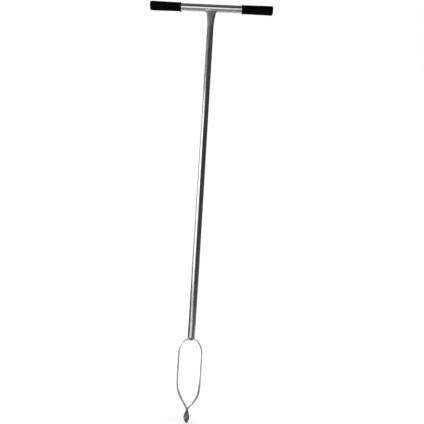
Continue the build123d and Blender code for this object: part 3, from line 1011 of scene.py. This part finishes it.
# Level screens, which are parts of flat rings: name, first and last bearing, inner and outer radius,
# height, grey
LEVEL_SCREENS = (
    ("ceiling_left", -176, -40, 0.0, WALL, CEILING, 0.33),
    ("ceiling_right", -40, 184, 0.0, WALL, CEILING, 0.07),
    ("ceiling_front", -40, 45, 2.0, 5.4, CEILING - 0.01, 0.2),
    ("floor_centre", 0, 360, 0.0, 0.16, FLOOR_SCREEN, 0.07),
    ("floor_middle_right", 35, 155, 0.16, 0.3, FLOOR_SCREEN, 0.12),
    ("floor_middle_back", 155, 226, 0.16, 0.3, FLOOR_SCREEN, 0.6),
    ("floor_middle_left", 226, 310, 0.16, 0.3, FLOOR_SCREEN, 0.12),
    ("floor_middle_front", -50, 35, 0.16, 0.3, FLOOR_SCREEN, 0.8),
    ("floor_front", -95, 20, 0.3, 1.08, FLOOR_SCREEN, 0.25),
    ("floor_front_right", 20, 110, 0.3, 1.08, FLOOR_SCREEN, 0.05),
    ("floor_back", 150, 210, 0.3, 0.5, FLOOR_SCREEN, 0.45),
    ("floor_back_far", 168, 192, 0.5, 1.55, FLOOR_SCREEN, 0.16),
    ("floor_back_left", -168, -95, 0.5, 1.08, FLOOR_SCREEN, 0.06),
    ("floor_right", 6, 95, 1.08, WALL, FLOOR_SCREEN, 0.16),
    ("floor_back_right", 95, 166, 2.6, WALL, FLOOR_SCREEN, 0.16),
    ("floor_left", -168, -50, 1.08, WALL, FLOOR_SCREEN, 0.12),
)


def background_rays(tree):
    """1 for the rays that show the background, to the camera, in reflections or through glass, else 0."""
    rays = add_node(tree, "LightPath").outputs
    seen = arithmetic(tree, "MAXIMUM", rays["Is Camera Ray"], rays["Is Glossy Ray"])
    return arithmetic(tree, "MAXIMUM", seen, rays["Is Transmission Ray"])


def add_world():
    """White to the rays that show the background, and a softer grey as light."""
    world = bpy.data.worlds.new("studio")
    bpy.context.scene.world = world
    world.use_nodes = True
    tree = world.node_tree
    shown = tree.nodes["Background"]
    strength = spread(tree, background_rays(tree), 0.0, 1.0, WORLD_LIGHT, 1.0)
    tree.links.new(strength, shown.inputs["Strength"])
    shown.inputs["Color"].default_value = WHITE


def add_stage(name, points, finish):
    """A sheet of the studio from a grid of points in metres."""
    mesh = bpy.data.meshes.new(name)
    cells = grid_cells(*points.shape[:2], False, False)
    mesh.from_pydata(points.reshape(-1, 3).tolist(), [], cells.tolist())
    mesh.materials.append(finish)
    sheet = bpy.data.objects.new(name, mesh)
    bpy.context.scene.collection.objects.link(sheet)
    return sheet


def screen_grey(name, grey):
    """An even grey that needs no light."""
    made, _, shader = finish_nodes(name)
    shader.inputs["Base Color"].default_value = BLACK
    shader.inputs["Specular IOR Level"].default_value = 0.0
    shader.inputs["Emission Color"].default_value = (grey, grey, grey, 1)
    shader.inputs["Emission Strength"].default_value = 1.0
    return made


def add_screen(name, points, grey):
    """A sheet that only reflections see, so it neither shows nor shades anything."""
    sheet = add_stage(name, points, screen_grey(name, grey))
    sheet.visible_camera = False
    sheet.visible_diffuse = False
    sheet.visible_transmission = False
    sheet.visible_volume_scatter = False
    sheet.visible_shadow = False


def wall_screen(name, start, end, distance, grey):
    """Part of an upright wall round the tool; between its edges the bearing and the height run evenly."""
    start, end = np.array(start, float), np.array(end, float)
    share = np.linspace(0, 1, SCREEN_STEPS)[None, :, None]
    rows = start[:, None] * (1 - share) + end[:, None] * share
    bearing = np.radians(rows[..., 0])
    points = np.stack([distance * np.sin(bearing), -distance * np.cos(bearing), rows[..., 1]], -1)
    add_screen(name, points, grey)


def level_screen(name, start, end, inner, outer, height, grey):
    """Part of a flat ring round the turning axis."""
    bearing = np.radians(np.linspace(start, end, SCREEN_STEPS))[None, :]
    distance = np.array([inner, outer])[:, None]
    points = np.broadcast_arrays(distance * np.sin(bearing), -distance * np.cos(bearing), height)
    add_screen(name, np.stack(points, -1), grey)


def add_floor():
    """Pale floor, with light of its own for the rays that show the background, which makes it white away
    from the tool."""
    made, tree, shader = finish_nodes("pale_floor")
    away = add_node(tree, "VectorMath", {"operation": "LENGTH"}, Vector=object_place(tree)).outputs["Value"]
    glow = spread(tree, away, FLOOR_NEAR, FLOOR_FAR, FLOOR_NEAR_GLOW, FLOOR_FAR_GLOW)
    glow = arithmetic(tree, "MULTIPLY", background_rays(tree), glow)
    tree.links.new(glow, shader.inputs["Emission Strength"])
    shader.inputs["Emission Color"].default_value = WHITE
    shader.inputs["Base Color"].default_value = FLOOR_GREY
    shader.inputs["Roughness"].default_value = 0.9
    shader.inputs["Specular IOR Level"].default_value = 0.0
    reach = np.array([-FLOOR_REACH, FLOOR_REACH])
    points = np.broadcast_arrays(reach[None, :], reach[:, None], FLOOR_HEIGHT)
    add_stage("floor", np.stack(points, -1), made)


def add_lamp(name, place, target, width, height, watts, mirrored):
    """A soft rectangular lamp aimed at a point, which bright metal may mirror or not."""
    lamp = bpy.data.lights.new(name, "AREA")
    lamp.shape = "RECTANGLE"
    lamp.size = width
    lamp.size_y = height
    lamp.energy = watts
    stand = bpy.data.objects.new(name, lamp)
    stand.visible_glossy = mirrored
    bpy.context.scene.collection.objects.link(stand)
    aim = Vector(target) - Vector(place)
    turned = aim.to_track_quat("-Z", "Y").to_matrix().to_4x4()
    stand.matrix_world = Matrix.Translation(Vector(place)) @ turned


add_world()
add_floor()
for screen in WALL_SCREENS:
    wall_screen(*screen)
for screen in LEVEL_SCREENS:
    level_screen(*screen)
add_lamp("window", (-1.9, -1.3, 1.27), (0, 0, 0.75), width=1.9, height=1.66, watts=13.2, mirrored=True)
add_lamp("overhead", (0.4, -0.5, 2.7), (0, 0, 0.6), width=1.6, height=1.6, watts=30.0, mirrored=False)

bpy.context.scene.view_settings.view_transform = "Standard"
